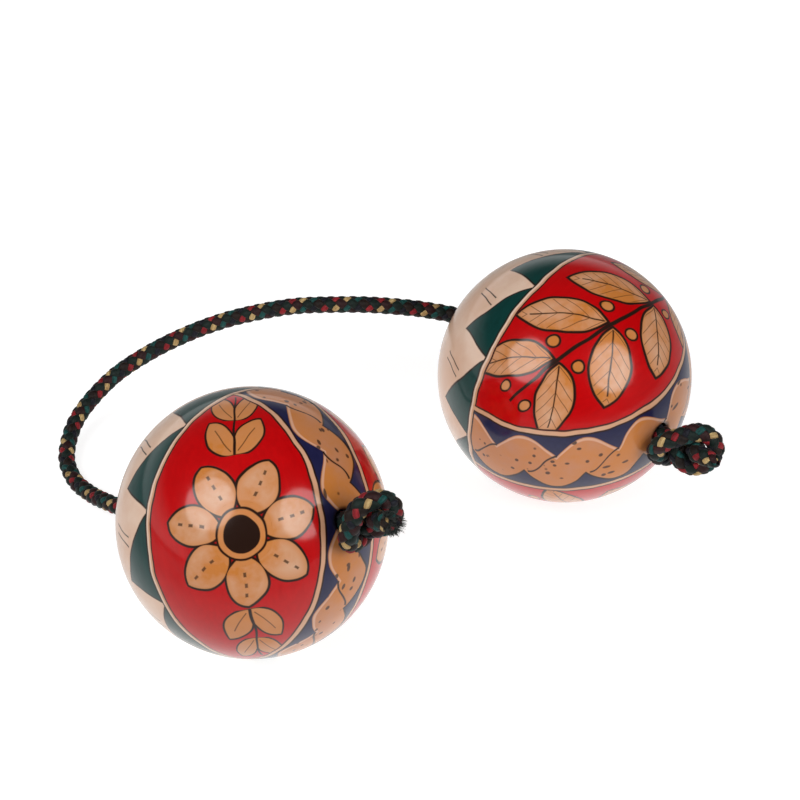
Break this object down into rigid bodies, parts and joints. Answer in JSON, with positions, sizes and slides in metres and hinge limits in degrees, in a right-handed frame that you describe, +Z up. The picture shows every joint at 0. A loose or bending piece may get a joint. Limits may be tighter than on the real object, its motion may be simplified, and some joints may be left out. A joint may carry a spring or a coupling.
{
  "type": "kashaka",
  "caption": "Hand-held percussion rattle: hollow painted gourd shells with loose seeds inside, threaded on a braided cord and held by stopper knots at its ends.",
  "frame": {"origin": "on the floor, midway between the rest flats of the two gourds", "axes": "+X from the left gourd to the right gourd, +Y towards the free cord's arch, +Z up"},
  "size_m": [0.1476, 0.1329, 0.0597],
  "materials": {
    "gourd": "dried gourd, painted and varnished, gloss",
    "cord": "round eight-strand braid, dark with red, cream and teal strands",
    "seed": "dry hard seed, satin"
  },
  "bodies": {
    "free_cord_left": {"cord_span_left": "cord"},
    "free_cord_right": {"cord_span_right": "cord"},
    "threaded_cord_left": {"cord_inner_left": "cord", "stopper_knot_left": "cord"},
    "gourd_left": {"gourd_shell_left": "gourd"},
    "threaded_cord_right": {"cord_inner_right": "cord", "stopper_knot_right": "cord"},
    "gourd_right": {"gourd_shell_right": "gourd"},
    "seed_left_01": {"seed_left_01": "seed"},
    "seed_left_02": {"seed_left_02": "seed"},
    "seed_left_03": {"seed_left_03": "seed"},
    "seed_left_04": {"seed_left_04": "seed"},
    "seed_left_05": {"seed_left_05": "seed"},
    "seed_left_06": {"seed_left_06": "seed"},
    "seed_left_07": {"seed_left_07": "seed"},
    "seed_left_08": {"seed_left_08": "seed"},
    "seed_right_01": {"seed_right_01": "seed"},
    "seed_right_02": {"seed_right_02": "seed"},
    "seed_right_03": {"seed_right_03": "seed"},
    "seed_right_04": {"seed_right_04": "seed"},
    "seed_right_05": {"seed_right_05": "seed"},
    "seed_right_06": {"seed_right_06": "seed"},
    "seed_right_07": {"seed_right_07": "seed"},
    "seed_right_08": {"seed_right_08": "seed"}
  },
  "joints": [
    {"name": "fold", "type": "hinge", "parent": "free_cord_left", "child": "free_cord_right", "pos_m": [-0.02396, 0.08029, 0.01552], "axis": [0, 0, -1], "range_deg": [-60, 19]},
    {"name": "swing_left", "type": "hinge", "parent": "free_cord_left", "child": "threaded_cord_left", "pos_m": [-0.05244, 0.0266, 0.0136], "axis": [0, 0, -1], "range_deg": [-60, 60]},
    {"name": "spin_left", "type": "hinge", "parent": "threaded_cord_left", "child": "gourd_left", "pos_m": [-0.0438, 0, 0.02975], "axis": [0.2676, -0.8236, 0.5], "continuous": true},
    {"name": "swing_right", "type": "hinge", "parent": "free_cord_right", "child": "threaded_cord_right", "pos_m": [0.03875, 0.0319, 0.02919], "axis": [0, 0, 1], "range_deg": [-48, 60]},
    {"name": "spin_right", "type": "hinge", "parent": "threaded_cord_right", "child": "gourd_right", "pos_m": [0.0438, 0, 0.02975], "axis": [0.1564, -0.9875, 0.0175], "continuous": true},
    {"name": "rattle_left_01", "type": "slide", "parent": "gourd_left", "child": "seed_left_01", "axis": [0, 0, 1], "range_m": [0, 0.0164]},
    {"name": "rattle_left_02", "type": "slide", "parent": "gourd_left", "child": "seed_left_02", "axis": [0, 0, 1], "range_m": [0, 0.0436]},
    {"name": "rattle_left_03", "type": "slide", "parent": "gourd_left", "child": "seed_left_03", "axis": [0, 0, 1], "range_m": [0, 0.0172]},
    {"name": "rattle_left_04", "type": "slide", "parent": "gourd_left", "child": "seed_left_04", "axis": [0, 0, 1], "range_m": [0, 0.0098]},
    {"name": "rattle_left_05", "type": "slide", "parent": "gourd_left", "child": "seed_left_05", "axis": [0, 0, 1], "range_m": [0, 0.0436]},
    {"name": "rattle_left_06", "type": "slide", "parent": "gourd_left", "child": "seed_left_06", "axis": [0, 0, 1], "range_m": [0, 0.0436]},
    {"name": "rattle_left_07", "type": "slide", "parent": "gourd_left", "child": "seed_left_07", "axis": [0, 0, 1], "range_m": [0, 0.0203]},
    {"name": "rattle_left_08", "type": "slide", "parent": "gourd_left", "child": "seed_left_08", "axis": [0, 0, 1], "range_m": [0, 0.0217]},
    {"name": "rattle_right_01", "type": "slide", "parent": "gourd_right", "child": "seed_right_01", "axis": [0, 0, 1], "range_m": [0, 0.0173]},
    {"name": "rattle_right_02", "type": "slide", "parent": "gourd_right", "child": "seed_right_02", "axis": [0, 0, 1], "range_m": [0, 0.0436]},
    {"name": "rattle_right_03", "type": "slide", "parent": "gourd_right", "child": "seed_right_03", "axis": [0, 0, 1], "range_m": [0, 0.0181]},
    {"name": "rattle_right_04", "type": "slide", "parent": "gourd_right", "child": "seed_right_04", "axis": [0, 0, 1], "range_m": [0, 0.0161]},
    {"name": "rattle_right_05", "type": "slide", "parent": "gourd_right", "child": "seed_right_05", "axis": [0, 0, 1], "range_m": [0, 0.0436]},
    {"name": "rattle_right_06", "type": "slide", "parent": "gourd_right", "child": "seed_right_06", "axis": [0, 0, 1], "range_m": [0, 0.0436]},
    {"name": "rattle_right_07", "type": "slide", "parent": "gourd_right", "child": "seed_right_07", "axis": [0, 0, 1], "range_m": [0, 0.016]},
    {"name": "rattle_right_08", "type": "slide", "parent": "gourd_right", "child": "seed_right_08", "axis": [0, 0, 1], "range_m": [0, 0.0204]}
  ]
}
